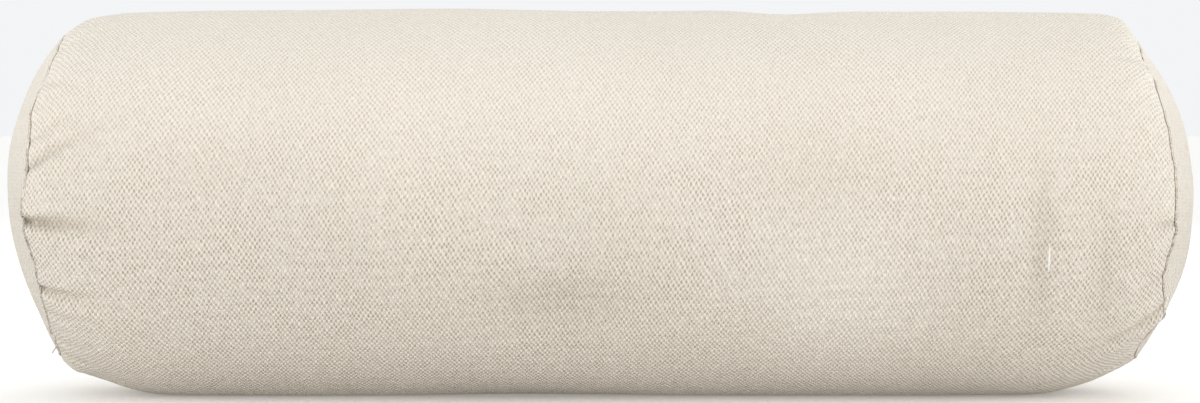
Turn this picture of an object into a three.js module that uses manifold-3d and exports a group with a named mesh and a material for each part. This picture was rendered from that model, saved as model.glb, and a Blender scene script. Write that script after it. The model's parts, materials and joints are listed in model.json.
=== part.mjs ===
// Round bolster pillow with a woven slip cover.
// A foam core wrapped in batting sits in a plain ticking, and a zipped cover goes over it.
// Millimetres, +Z up, X along the bolster, the front faces -Y, the zip is at the back.
// The origin is under the middle, on the flat that the bolster rests on.

import * as THREE from 'three';
import { mergeVertices } from 'three/addons/utils/BufferGeometryUtils.js';
import Module from 'manifold-3d';

const wasm = await Module();
wasm.setup();

// ---------------------------------------------------------------- driving dimensions

const BODY_RADIUS = 103; // middle of the bolster
const REST_PRESS = 3; // how much its weight flattens the underside
const AXIS_Z = BODY_RADIUS - REST_PRESS;
const HALF_LENGTH = 315; // to the crown of each end
const SEAM_X = 285.5; // plane of each end seam
const SEAM_RADIUS = 88;
const DOME_HEIGHT = HALF_LENGTH - SEAM_X;
const CROWN_DROP = 3; // the barrel narrows this much towards the seams
const CROWN_POWER = 6;
const SHOULDER_X = 235; // the round shoulder starts here
const SHOULDER_POWER = 2.6;
const SHOULDER_DROP = BODY_RADIUS - CROWN_DROP - SEAM_RADIUS;

const CLOTH = 1.2; // cover fabric
const SEAM_GAP = 1.4; // between two sewn edges, where the thread runs
const TURNED_EDGE_RADIUS = 82.5; // inner edge of the seam allowance
const THREAD_RADIUS = 0.35;
const THREAD_SINK = 1; // the seam thread lies this deep in the seam

const INSERT_DEPTH = 1.6; // insert below the outer surface, at the barrel
const INSERT_END_DEPTH = 5.5; // and along the axis at the ends
const TICKING = 0.8;
const LAYER_GAP = 0.4;
const CORE_RADIUS = 80;
const CORE_HALF_LENGTH = 262;

const FACETS = 36;
const ZIP_ELEVATION = (2 * Math.PI) / FACETS; // one facet above level
const SLOT_HALF_LENGTH = 225;
const SLOT_HALF_WIDTH = 5.5;
const TAPE_TOP = 99.4; // distance of the tape's outer face from the axis
const TAPE_THICKNESS = 0.6;
const TAPE_HALF_LENGTH = 231;
const TAPE_INNER_EDGE = 0.9;
const TAPE_OUTER_EDGE = 14;
const INSERT_FLAT = 97; // the insert is pressed flat behind the zip

const COIL_HALF_LENGTH = 215.5;
const COIL_INNER_EDGE = 0.8;
const COIL_WIDTH = 2.3;
const COIL_HEIGHT = 1.8;
const COIL_BASE = TAPE_TOP + 0.3;
const STOP_LENGTH = 2.5;
const STOP_X = COIL_HALF_LENGTH + 0.5 + STOP_LENGTH / 2;
const STITCH_SIDE = 8.5; // zip stitching, from the middle of the zip

const SLIDER_CLOSED_X = 209;
const SLIDER_HALF_LENGTH = 5.5;
const SLIDER_HALF_WIDTH = 4.4;
const PLATE = 0.9;
const TOP_PLATE_BASE = COIL_BASE + COIL_HEIGHT + 0.4;
const BOTTOM_PLATE_BASE = TAPE_TOP - TAPE_THICKNESS - 0.4 - PLATE;
const BRIDGE = { halfLength: 3.4, halfWidth: 0.9, height: 2.9, roof: 0.8, leg: 1.4 };

const PIVOT_Y = TOP_PLATE_BASE + PLATE + 1.1;
const PULLER = { length: 26, halfWidth: 3.2, tipHalfWidth: 2.6, thickness: 1.2, bar: 1.1 };
const PULLER_EYE = { length: 4.3, halfWidth: 1.5 };

// ---------------------------------------------------------------- materials

const finish = (color, roughness, metalness = 0) => ({ color, roughness, metalness });
const COVER_CLOTH = finish(0xe8e0d3, 0.95);
const SEAM_THREAD = finish(0xcfc4b2, 0.8);
const TICKING_CLOTH = finish(0xf1eee6, 0.9);
const BATTING = finish(0xf7f6f2, 1);
const FOAM = finish(0xe9dfb4, 0.95);
const TAPE_CLOTH = finish(0xddd4c4, 0.9);
const NYLON = finish(0xe3dccd, 0.45);
const NICKEL = finish(0xb9b6ae, 0.3, 1);

// ---------------------------------------------------------------- solids and meshes

/** A closed three.js geometry as a solid that can be cut and joined. */
function solidOf(geometry) {
  const bare = geometry.clone();
  bare.deleteAttribute('normal');
  bare.deleteAttribute('uv');
  const merged = mergeVertices(bare, 1e-4);
  const corners = merged.index.array;
  const triangles = [];
  for (let i = 0; i < corners.length; i += 3) {
    const [a, b, c] = corners.slice(i, i + 3);
    if (a !== b && b !== c && c !== a) triangles.push(a, b, c);
  }
  return new wasm.Manifold(
    new wasm.Mesh({
      numProp: 3,
      vertProperties: new Float32Array(merged.attributes.position.array),
      triVerts: new Uint32Array(triangles),
    }),
  );
}

function geometryOf(solid) {
  const mesh = solid.getMesh();
  const geometry = new THREE.BufferGeometry();
  geometry.setAttribute('position', new THREE.BufferAttribute(mesh.vertProperties, 3));
  geometry.setIndex(new THREE.BufferAttribute(mesh.triVerts, 1));
  geometry.computeVertexNormals();
  return geometry;
}

function block(xMin, xMax, yMin, yMax, zMin, zMax) {
  const box = new THREE.BoxGeometry(xMax - xMin, yMax - yMin, zMax - zMin);
  return box.translate((xMin + xMax) / 2, (yMin + yMax) / 2, (zMin + zMax) / 2);
}

const blockSolid = (...limits) => solidOf(block(...limits));

function addPart(parent, name, shape, look) {
  const geometry = shape.isBufferGeometry ? shape : geometryOf(shape);
  const mesh = new THREE.Mesh(geometry, new THREE.MeshStandardMaterial(look));
  mesh.name = name;
  parent.add(mesh);
  return mesh;
}

// ---------------------------------------------------------------- form of the bolster

/** Radius of the outer surface at a distance from the middle. */
function barrelRadius(x) {
  const along = Math.abs(x);
  const shoulder = Math.max(0, (along - SHOULDER_X) / (SEAM_X - SHOULDER_X));
  const crown = CROWN_DROP * (along / SEAM_X) ** CROWN_POWER;
  return BODY_RADIUS - crown - SHOULDER_DROP * shoulder ** SHOULDER_POWER;
}

const COVER_RINGS = {
  barrel: [0.4, 0.72, 0.84, 0.9, 0.945, 0.975, 1], // fractions of the way to the seam
  dome: [0.85, 0.62, 0.35, 0], // fractions of the seam's radius
};
const INSERT_RINGS = { barrel: [0.72, 0.85, 0.93, 1], dome: [0.75, 0.4, 0] };

/** Half of the outline, as [x, radius] from near the middle out to the crown of the end. */
function halfOutline(rings, depth, endDepth) {
  const seamX = SEAM_X - endDepth;
  const seamRadius = SEAM_RADIUS - depth;
  const barrel = rings.barrel.map((t) => [t * seamX, barrelRadius(t * SEAM_X) - depth]);
  const dome = rings.dome.map((t) => [seamX + DOME_HEIGHT * (1 - t * t), t * seamRadius]);
  return [...barrel, ...dome];
}

/** The round form around the X axis, this deep below the outer surface. */
function roundForm(rings, depth, endDepth) {
  const right = halfOutline(rings, depth, endDepth);
  const left = right.map(([x, radius]) => [-x, radius]).reverse();
  const profile = [...left, ...right].map(([x, radius]) => new THREE.Vector2(radius, x));
  return solidOf(new THREE.LatheGeometry(profile, FACETS).rotateZ(-Math.PI / 2));
}

const REACH = 400; // larger than the bolster

/** The form flattened where it rests, so that every layer keeps its distance there. */
function restingForm(rings, depth, endDepth) {
  const above = blockSolid(-REACH, REACH, -REACH, REACH, depth - AXIS_Z, REACH);
  return roundForm(rings, depth, endDepth).intersect(above);
}

/** The insert is also pressed flat behind the zip. */
function insertForm(depth, endDepth) {
  const flat = INSERT_FLAT - (depth - INSERT_DEPTH);
  const slab = block(-REACH, REACH, -REACH, flat, -REACH, REACH).rotateX(ZIP_ELEVATION);
  return restingForm(INSERT_RINGS, depth, endDepth).intersect(solidOf(slab));
}

const lengthwise = (xMin, xMax) => blockSolid(xMin, xMax, -REACH, REACH, -REACH, REACH);

/** A flat ring across the axis. */
function ring(xMin, xMax, innerRadius, outerRadius) {
  const disc = (radius, length) => {
    const cylinder = new THREE.CylinderGeometry(radius, radius, length, FACETS);
    return solidOf(cylinder.rotateZ(-Math.PI / 2).translate((xMin + xMax) / 2, 0, 0));
  };
  const length = xMax - xMin;
  return disc(outerRadius, length).subtract(disc(innerRadius, 2 * length));
}

/** A thread that runs round the axis. */
function threadRing(x, radius) {
  const circle = new THREE.Path().absarc(radius, x, THREAD_RADIUS, 0, 2 * Math.PI);
  const profile = circle.getPoints(2);
  return new THREE.LatheGeometry(profile, FACETS).rotateZ(-Math.PI / 2);
}

/** A thread that runs lengthwise, at a height over the barrel, in the zip's own frame. */
function threadAlong(xFrom, xTo, lift, side) {
  const steps = 10;
  const points = [];
  for (let i = 0; i <= steps; i += 1) {
    const x = THREE.MathUtils.lerp(xFrom, xTo, i / steps);
    points.push(new THREE.Vector3(x, barrelRadius(x) + lift, side));
  }
  const section = new THREE.Shape().absarc(0, 0, THREAD_RADIUS, 0, 2 * Math.PI);
  const extrudePath = new THREE.CatmullRomCurve3(points);
  return new THREE.ExtrudeGeometry(section, { extrudePath, steps, curveSegments: 3 });
}

// ---------------------------------------------------------------- insert

function buildInsert(bolster) {
  const inner = INSERT_DEPTH + TICKING;
  const innerEnd = INSERT_END_DEPTH + TICKING;
  const ticking = insertForm(INSERT_DEPTH, INSERT_END_DEPTH).subtract(insertForm(inner, innerEnd));
  const filling = insertForm(inner + LAYER_GAP, innerEnd + LAYER_GAP);
  const seam = SEAM_X - INSERT_END_DEPTH;
  const edge = seam - SEAM_GAP / 2;

  const core = new THREE.CylinderGeometry(CORE_RADIUS, CORE_RADIUS, 2 * CORE_HALF_LENGTH, FACETS);
  addPart(bolster, 'foam_core', core.rotateZ(Math.PI / 2), FOAM);
  const hollow = ring(-CORE_HALF_LENGTH, CORE_HALF_LENGTH, CORE_RADIUS + LAYER_GAP, REACH);
  addPart(bolster, 'batting_wrap', filling.intersect(hollow), BATTING);
  addPart(bolster, 'insert_body_ticking', ticking.intersect(lengthwise(-edge, edge)), TICKING_CLOTH);

  for (const [side, sign] of [['left', -1], ['right', 1]]) {
    const beyond = (x) => (sign > 0 ? lengthwise(x, REACH) : lengthwise(-REACH, -x));
    const pad = filling.intersect(beyond(CORE_HALF_LENGTH + LAYER_GAP));
    addPart(bolster, `${side}_end_pad`, pad, BATTING);
    const endTicking = ticking.intersect(beyond(seam + SEAM_GAP / 2));
    addPart(bolster, `insert_${side}_end_ticking`, endTicking, TICKING_CLOTH);
    const thread = threadRing(sign * seam, SEAM_RADIUS - INSERT_DEPTH - THREAD_SINK);
    addPart(bolster, `insert_${side}_seam_thread`, thread, SEAM_THREAD);
  }
}

// ---------------------------------------------------------------- cover

/** The slit between the panel's long edges, which opens out to a slot along the zip. */
function zipOpening() {
  const slit = block(-REACH, REACH, 0, REACH, -SEAM_GAP / 2, SEAM_GAP / 2);
  const slot = block(
    -SLOT_HALF_LENGTH, SLOT_HALF_LENGTH, 0, REACH, -SLOT_HALF_WIDTH, SLOT_HALF_WIDTH,
  );
  return solidOf(slit.rotateX(ZIP_ELEVATION)).add(solidOf(slot.rotateX(ZIP_ELEVATION)));
}

function buildCover(bolster) {
  const outside = restingForm(COVER_RINGS, 0, 0);
  const shell = outside.subtract(restingForm(COVER_RINGS, CLOTH, CLOTH));
  const edge = SEAM_X - SEAM_GAP / 2;

  let body = shell.intersect(lengthwise(-edge, edge));
  for (const [side, sign] of [['left', -1], ['right', 1]]) {
    const turnedEdge = (from) => {
      const [a, b] = [sign * from, sign * (from + CLOTH)];
      const allowance = ring(Math.min(a, b), Math.max(a, b), TURNED_EDGE_RADIUS, SEAM_RADIUS);
      return outside.intersect(allowance);
    };
    body = body.add(turnedEdge(edge - CLOTH));
    const outer = SEAM_X + SEAM_GAP / 2;
    const beyond = sign > 0 ? lengthwise(outer, REACH) : lengthwise(-REACH, -outer);
    const end = shell.intersect(beyond).add(turnedEdge(outer));
    addPart(bolster, `cover_${side}_end_panel`, end, COVER_CLOTH);
    const thread = threadRing(sign * SEAM_X, SEAM_RADIUS - THREAD_SINK - THREAD_RADIUS);
    addPart(bolster, `cover_${side}_seam_thread`, thread, SEAM_THREAD);
  }
  addPart(bolster, 'cover_body_panel', body.subtract(zipOpening()), COVER_CLOTH);
}

/** Threads of the long seam: beyond the zip, beside the zip and on the insert behind it. */
function buildLongSeams(zipFrame) {
  const start = SLOT_HALF_LENGTH + 1.5;
  const stop = SEAM_X - 2.5;
  const sink = -THREAD_SINK;
  addPart(zipFrame, 'body_seam_thread_left', threadAlong(-stop, -start, sink, 0), SEAM_THREAD);
  addPart(zipFrame, 'body_seam_thread_right', threadAlong(start, stop, sink, 0), SEAM_THREAD);

  const chord = Math.tan(Math.PI / FACETS) * STITCH_SIDE; // the facet falls away beside its ridge
  const lift = 0.3 + THREAD_RADIUS - chord;
  const reach = SLOT_HALF_LENGTH - 3;
  for (const [side, sign] of [['upper', 1], ['lower', -1]]) {
    const stitching = threadAlong(-reach, reach, lift, sign * STITCH_SIDE);
    addPart(zipFrame, `zip_${side}_stitching`, stitching, SEAM_THREAD);
  }

  const insertSeamSide = 10;
  const length = 2 * (SHOULDER_X - LAYER_GAP);
  const insertSeam = new THREE.CylinderGeometry(THREAD_RADIUS, THREAD_RADIUS, length, 8);
  insertSeam.rotateZ(Math.PI / 2).translate(0, INSERT_FLAT + 0.3 + THREAD_RADIUS, insertSeamSide);
  addPart(zipFrame, 'insert_closing_seam_thread', insertSeam, SEAM_THREAD);
}

// ---------------------------------------------------------------- zip

/** One row of the nylon coil: a half-round strip on the tape. */
function coilStrip(sign) {
  const half = COIL_WIDTH / 2;
  const outline = new THREE.Shape();
  outline.moveTo(-half, 0);
  outline.lineTo(half, 0);
  outline.lineTo(half, COIL_HEIGHT / 2);
  outline.absellipse(0, COIL_HEIGHT / 2, half, COIL_HEIGHT / 2, 0, Math.PI);
  const depth = 2 * COIL_HALF_LENGTH;
  const strip = new THREE.ExtrudeGeometry(outline, { depth, bevelEnabled: false, curveSegments: 6 });
  strip.rotateY(Math.PI / 2);
  return strip.translate(-COIL_HALF_LENGTH, COIL_BASE, sign * (COIL_INNER_EDGE + half));
}

function buildTapes(zipFrame) {
  for (const [side, sign] of [['upper', 1], ['lower', -1]]) {
    const [near, far] = [sign * TAPE_INNER_EDGE, sign * TAPE_OUTER_EDGE];
    const tape = block(
      -TAPE_HALF_LENGTH, TAPE_HALF_LENGTH, TAPE_TOP - TAPE_THICKNESS, TAPE_TOP,
      Math.min(near, far), Math.max(near, far),
    );
    addPart(zipFrame, `zip_${side}_tape`, tape, TAPE_CLOTH);
    addPart(zipFrame, `zip_${side}_coil`, coilStrip(sign), NYLON);

    const stop = new THREE.BoxGeometry(STOP_LENGTH, COIL_HEIGHT, COIL_WIDTH);
    const across = sign * (COIL_INNER_EDGE + COIL_WIDTH / 2);
    stop.translate(STOP_X, COIL_BASE + COIL_HEIGHT / 2, across);
    addPart(zipFrame, `zip_${side}_top_stop`, stop, NICKEL);
  }
  const wide = 2 * (COIL_INNER_EDGE + COIL_WIDTH);
  const bottomStop = new THREE.BoxGeometry(STOP_LENGTH, COIL_HEIGHT, wide);
  bottomStop.translate(-STOP_X, COIL_BASE + COIL_HEIGHT / 2, 0);
  addPart(zipFrame, 'zip_bottom_stop', bottomStop, NICKEL);
}

/** Two plates round the coil, joined by the post between its rows, with a bridge on top. */
function sliderSolid() {
  const halfLength = SLIDER_HALF_LENGTH;
  const plate = (base) => {
    const outline = new THREE.Shape();
    const tail = SLIDER_HALF_WIDTH - 0.8;
    outline.moveTo(-halfLength, -tail);
    outline.quadraticCurveTo(0, -SLIDER_HALF_WIDTH - 0.4, halfLength, -SLIDER_HALF_WIDTH);
    outline.lineTo(halfLength, SLIDER_HALF_WIDTH);
    outline.quadraticCurveTo(0, SLIDER_HALF_WIDTH + 0.4, -halfLength, tail);
    outline.closePath();
    const options = { depth: PLATE, bevelEnabled: false, curveSegments: 6 };
    const flat = new THREE.ExtrudeGeometry(outline, options).rotateX(-Math.PI / 2);
    return solidOf(flat.translate(0, base, 0));
  };
  const topFace = TOP_PLATE_BASE + PLATE;
  const { halfWidth, height, roof, leg } = BRIDGE;
  const reach = BRIDGE.halfLength;
  const bury = 0.2;
  const hole = blockSolid(leg - reach, reach - leg, topFace, topFace + height - roof, -2, 2);
  const bridge = blockSolid(-reach, reach, topFace - bury, topFace + height, -halfWidth, halfWidth);
  const bottomFace = BOTTOM_PLATE_BASE + PLATE;
  const post = blockSolid(-2, 3, bottomFace - bury, TOP_PLATE_BASE + bury, -0.45, 0.45);

  let slider = plate(TOP_PLATE_BASE).add(plate(BOTTOM_PLATE_BASE)).add(post);
  slider = slider.add(bridge.subtract(hole));
  const flangeInside = COIL_INNER_EDGE + COIL_WIDTH + 0.4;
  const flangeOutside = SLIDER_HALF_WIDTH - 0.3;
  for (const sign of [-1, 1]) {
    const across = [sign * flangeInside, sign * flangeOutside].sort((a, b) => a - b);
    const flange = blockSolid(-4, 5, TAPE_TOP + 0.5, TOP_PLATE_BASE + bury, ...across);
    slider = slider.add(flange);
  }
  return slider;
}

/** A flat tab that tapers to its tip, hung by its eye on the slider's bridge. */
function pullerGeometry() {
  const { length, halfWidth, tipHalfWidth, thickness, bar } = PULLER;
  const outline = new THREE.Shape();
  outline.moveTo(bar / 2, -halfWidth);
  outline.lineTo(bar / 2, halfWidth);
  outline.lineTo(-length + tipHalfWidth, tipHalfWidth);
  outline.absarc(-length + tipHalfWidth, 0, tipHalfWidth, Math.PI / 2, (3 * Math.PI) / 2);
  outline.closePath();
  const eyeStart = -bar / 2;
  const eyeEnd = eyeStart - PULLER_EYE.length;
  const eye = new THREE.Path();
  eye.moveTo(eyeStart, -PULLER_EYE.halfWidth);
  eye.lineTo(eyeEnd, -PULLER_EYE.halfWidth);
  eye.lineTo(eyeEnd, PULLER_EYE.halfWidth);
  eye.lineTo(eyeStart, PULLER_EYE.halfWidth);
  eye.closePath();
  outline.holes.push(eye);
  const options = { depth: thickness, bevelEnabled: false, curveSegments: 8 };
  const tab = new THREE.ExtrudeGeometry(outline, options).rotateX(-Math.PI / 2);
  return tab.translate(0, -thickness / 2, 0);
}

function buildZip(zipFrame) {
  buildTapes(zipFrame);
  const runner = new THREE.Group();
  runner.position.x = SLIDER_CLOSED_X;
  zipFrame.add(runner);
  addPart(runner, 'zip_slider', sliderSolid(), NICKEL);
  const puller = addPart(runner, 'zip_puller', pullerGeometry(), NICKEL);
  puller.position.y = PIVOT_Y;
}

// ---------------------------------------------------------------- assembly

const bolster = new THREE.Group();
bolster.position.z = AXIS_Z;
buildInsert(bolster);
buildCover(bolster);

// The zip's own frame: +Y points out of the bolster through the zip, +Z across it.
const zipFrame = new THREE.Group();
zipFrame.rotation.x = ZIP_ELEVATION;
bolster.add(zipFrame);
buildLongSeams(zipFrame);
buildZip(zipFrame);

const pillow = new THREE.Group();
pillow.add(bolster);

export default pillow;
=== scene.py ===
"""Bolster pillow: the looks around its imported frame.

Metres, +Z up, X along the bolster. The front faces -Y and the zip runs along the back.
"""

import json
import math

import bmesh
import bpy
import numpy as np
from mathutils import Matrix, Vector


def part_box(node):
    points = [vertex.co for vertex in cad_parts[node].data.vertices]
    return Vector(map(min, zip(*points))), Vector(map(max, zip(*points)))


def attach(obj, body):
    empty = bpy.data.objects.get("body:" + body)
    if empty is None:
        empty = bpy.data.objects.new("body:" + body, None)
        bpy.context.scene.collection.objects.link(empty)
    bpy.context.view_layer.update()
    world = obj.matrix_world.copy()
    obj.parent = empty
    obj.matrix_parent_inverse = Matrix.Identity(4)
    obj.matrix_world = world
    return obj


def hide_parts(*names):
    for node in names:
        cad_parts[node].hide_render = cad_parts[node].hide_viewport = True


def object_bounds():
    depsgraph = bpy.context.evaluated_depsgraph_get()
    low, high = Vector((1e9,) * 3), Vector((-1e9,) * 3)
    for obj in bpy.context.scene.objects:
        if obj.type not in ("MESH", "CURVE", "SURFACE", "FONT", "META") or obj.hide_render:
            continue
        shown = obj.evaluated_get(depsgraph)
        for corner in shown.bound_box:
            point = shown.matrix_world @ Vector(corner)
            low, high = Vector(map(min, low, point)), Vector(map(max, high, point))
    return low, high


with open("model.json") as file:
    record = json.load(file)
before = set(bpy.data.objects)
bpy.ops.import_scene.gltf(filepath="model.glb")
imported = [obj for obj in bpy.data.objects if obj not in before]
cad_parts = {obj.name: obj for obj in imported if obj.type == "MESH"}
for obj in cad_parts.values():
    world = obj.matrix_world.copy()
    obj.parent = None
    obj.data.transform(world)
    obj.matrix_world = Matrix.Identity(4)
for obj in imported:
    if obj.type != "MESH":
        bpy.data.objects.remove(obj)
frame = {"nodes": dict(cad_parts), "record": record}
cad_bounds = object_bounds()

MM = 0.001
TAU = 2 * math.pi
rng = np.random.default_rng(11)


# ------------------------------------------------------------------ sizes, from the frame

def box(node):
    low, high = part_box(node)
    return np.array(low), np.array(high)


def joint(name):
    return next(j for j in frame["record"]["behaviour"]["joints"] if j["name"] == name)


body_low, body_high = box("cover_body_panel")
RADIUS = (body_high[1] - body_low[1]) / 2
AXIS_Z = body_high[2] - RADIUS
HALF_LENGTH = box("cover_right_end_panel")[1][0]
THREAD_SINK = 1.0 * MM  # the end seams' thread lies this deep
thread_low, thread_high = box("cover_right_seam_thread")
SEAM_X = (thread_low[0] + thread_high[0]) / 2
SEAM_RADIUS = (thread_high[2] - thread_low[2]) / 2 + THREAD_SINK
DOME = HALF_LENGTH - SEAM_X
CROWN_DROP = 3 * MM
SHOULDER_X = 235 * MM

_, flip_y, flip_z = joint("puller_flip")["axis"]
ZIP_ANGLE = math.atan2(flip_y, -flip_z)  # above level, at the back
SLOT_HALF = 5.5 * MM
SLOT_END = box("zip_upper_stitching")[1][0] - 3 * MM
STITCH_SIDE = 8.5 * MM
COIL_END = box("zip_upper_coil")[1][0]
TAPE_END = box("zip_upper_tape")[1][0]
TAPE_TOP = 99.4 * MM
TAPE_THICKNESS = 0.6 * MM
COIL_BASE = TAPE_TOP + 0.3 * MM
COIL_CENTRE = 1.95 * MM
COIL_WIDTH = 2.3 * MM
COIL_HEIGHT = 1.8 * MM
COIL_MESH = -0.2 * MM  # inner reach of each row's loops: a little past the middle, into the other row
COIL_PITCH = 1.4 * MM
COIL_WIRE = 0.33 * MM  # radius

CLOTH = 1.0 * MM
SEAM_HALF_GAP = 0.15 * MM
INSERT_DEPTH = 1.6 * MM
INSERT_END_DEPTH = 5.5 * MM
TICKING = 0.7 * MM
INSERT_FLAT = 97 * MM  # the insert is pressed flat behind the zip
BATTING_SKIN = 1.3 * MM  # from the insert's outside to the batting
CORE_RADIUS = 80 * MM
CORE_END = box("foam_core")[1][0]
CORE_RIM = 3 * MM  # rounding of the foam's cut rims
CORE_UNEVENNESS = 0.15 * MM

FRONT = math.pi  # angle of the front, counted from the back over the top


def at_front(elevation):
    """Angle of a place on the front, this many degrees above level."""
    return FRONT - math.radians(elevation)


def new_object(name, data):
    """A new object in the scene."""
    thing = bpy.data.objects.new(name, data)
    bpy.context.collection.objects.link(thing)
    return thing


# ------------------------------------------------------------------ camera, lights, floor

def make_camera():
    distance = 1.45
    frame_width = 0.6385  # at the depth of the axis
    elevation = math.radians(1.5)
    data = bpy.data.cameras.new("camera")
    data.sensor_width = 36
    data.lens = data.sensor_width * distance / frame_width
    camera = new_object("camera", data)
    height = (cad_bounds[0][2] + cad_bounds[1][2]) / 2
    camera.location = (0, -distance * math.cos(elevation), height + distance * math.sin(elevation))
    camera.rotation_euler = (math.pi / 2 - elevation, 0, 0)
    bpy.context.scene.camera = camera


def make_lamp(name, location, target, size, power, colour):
    data = bpy.data.lights.new(name, "AREA")
    data.shape = "RECTANGLE"
    data.size, data.size_y = size
    data.energy = power
    data.color = colour
    lamp = new_object(name, data)
    lamp.location = location
    aim = np.array(target) - np.array(location)
    yaw = math.atan2(aim[0], aim[1])
    pitch = math.atan2(aim[2], math.hypot(aim[0], aim[1]))
    lamp.rotation_euler = (math.pi / 2 + pitch, 0, -yaw)


def make_studio():
    make_lamp("key", (-0.15, -0.85, 1.8), (0, 0, 0.1), size=(1.5, 0.8), power=1.8, colour=(1, 0.98, 0.95))
    make_lamp("low_front", (0.4, -2.3, 0.22), (0, 0, 0.05), size=(2.2, 0.4), power=15, colour=(1, 0.97, 0.93))
    make_lamp("left", (-2.0, -0.45, 0.55), (0, 0, 0.1), size=(1.2, 1.1), power=9, colour=(0.95, 0.99, 1))
    make_lamp("right", (2.0, -0.2, 0.55), (0, 0, 0.1), size=(1.2, 1.1), power=7.5, colour=(0.95, 0.99, 1))
    make_lamp("rear_fill", (0.6, 1.9, 1.3), (0, 0, 0.1), size=(1.6, 1.2), power=8, colour=(1, 0.98, 0.96))
    world = bpy.data.worlds.new("studio")
    world.use_nodes = True
    sky = world.node_tree.nodes["Background"]
    sky.inputs["Color"].default_value = (0.98, 0.99, 1, 1)
    sky.inputs["Strength"].default_value = 0.92
    bpy.context.scene.world = world
    bpy.context.scene.view_settings.view_transform = "Standard"

    reach = 60.0
    mesh = bpy.data.meshes.new("floor")
    corners = [(-reach, -reach, 0), (reach, -reach, 0), (reach, reach, 0), (-reach, reach, 0)]
    mesh.from_pydata(corners, [], [(0, 1, 2, 3)])
    floor = new_object("floor", mesh)
    floor.data.materials.append(light_table("floor", (0.9, 0.89, 0.87), 0.15))


# ------------------------------------------------------------------ material helpers

class Nodes:
    """Short calls for building a material's node tree."""

    def __init__(self, name):
        self.material = bpy.data.materials.new(name)
        self.material.use_nodes = True
        self.tree = self.material.node_tree
        self.shader = self.tree.nodes["Principled BSDF"]

    def feed(self, socket, value):
        if isinstance(value, bpy.types.NodeSocket):
            self.tree.links.new(value, socket)
        else:
            socket.default_value = value

    def math(self, operation, a, b=0.0, c=0.0, clamp=False):
        node = self.tree.nodes.new("ShaderNodeMath")
        node.operation = operation
        node.use_clamp = clamp
        for socket, value in zip(node.inputs, (a, b, c)):
            self.feed(socket, value)
        return node.outputs[0]

    def position(self):
        """X, Y, Z of the surface point in the object's own frame."""
        coordinates = self.tree.nodes.new("ShaderNodeTexCoord")
        split = self.tree.nodes.new("ShaderNodeSeparateXYZ")
        self.tree.links.new(coordinates.outputs["Object"], split.inputs[0])
        return coordinates.outputs["Object"], list(split.outputs)

    def attribute(self, name):
        """A number that the mesh carries at each vertex."""
        node = self.tree.nodes.new("ShaderNodeAttribute")
        node.attribute_name = name
        return node.outputs["Fac"]

    def combine(self, x, y, z=0.0):
        node = self.tree.nodes.new("ShaderNodeCombineXYZ")
        for socket, value in zip(node.inputs, (x, y, z)):
            self.feed(socket, value)
        return node.outputs[0]

    def noise(self, vector, scale, detail=2.0, roughness=0.5):
        node = self.tree.nodes.new("ShaderNodeTexNoise")
        self.feed(node.inputs["Vector"], vector)
        node.inputs["Scale"].default_value = scale
        node.inputs["Detail"].default_value = detail
        node.inputs["Roughness"].default_value = roughness
        return node.outputs["Fac"]

    def remap(self, value, low, high, to_low=0.0, to_high=1.0):
        node = self.tree.nodes.new("ShaderNodeMapRange")
        node.interpolation_type = "SMOOTHSTEP"
        for socket, given in zip(node.inputs, (value, low, high, to_low, to_high)):
            self.feed(socket, given)
        return node.outputs[0]

    def mix(self, factor, a, b, blend="MIX"):
        node = self.tree.nodes.new("ShaderNodeMix")
        node.data_type = "RGBA"
        node.blend_type = blend
        self.feed(node.inputs[0], factor)
        self.feed(node.inputs[6], (*a, 1) if isinstance(a, tuple) else a)
        self.feed(node.inputs[7], (*b, 1) if isinstance(b, tuple) else b)
        return node.outputs[2]

    def bump(self, height, distance, strength=1.0):
        node = self.tree.nodes.new("ShaderNodeBump")
        node.inputs["Distance"].default_value = distance
        node.inputs["Strength"].default_value = strength
        self.feed(node.inputs["Height"], height)
        self.feed(self.shader.inputs["Normal"], node.outputs[0])

    def finish(self, colour, roughness, sheen=0.0, metallic=0.0):
        self.feed(self.shader.inputs["Base Color"], colour)
        self.feed(self.shader.inputs["Roughness"], roughness)
        self.shader.inputs["Metallic"].default_value = metallic
        self.shader.inputs["Sheen Weight"].default_value = sheen
        self.shader.inputs["Sheen Roughness"].default_value = 0.5
        if sheen:
            self.shader.inputs["Specular IOR Level"].default_value = 0.2
        return self.material


def darker(colour, share):
    return tuple(c * share for c in colour)


def light_table(name, colour, glow):
    """A pale floor that glows a little, so that its far edge is as bright as the sky behind it."""
    nodes = Nodes(name)
    where, _ = nodes.position()
    cloud = nodes.noise(where, 2.0)
    low = darker(colour, 0.985)
    nodes.shader.inputs["Emission Color"].default_value = (1, 1, 1, 1)
    nodes.shader.inputs["Emission Strength"].default_value = glow
    return nodes.finish(nodes.mix(cloud, low, colour), 0.9)


def around_axis(nodes, xyz):
    """Distance round the barrel, in metres. It jumps only at the zip."""
    _, y, z = xyz
    cosine, sine = math.cos(ZIP_ANGLE), math.sin(ZIP_ANGLE)
    up = nodes.math("SUBTRACT", z, AXIS_Z)
    out = nodes.math("MULTIPLY_ADD", y, -cosine, nodes.math("MULTIPLY", up, -sine))
    across = nodes.math("MULTIPLY_ADD", y, sine, nodes.math("MULTIPLY", up, -cosine))
    return nodes.math("MULTIPLY", nodes.math("ARCTAN2", across, out), RADIUS)


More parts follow.
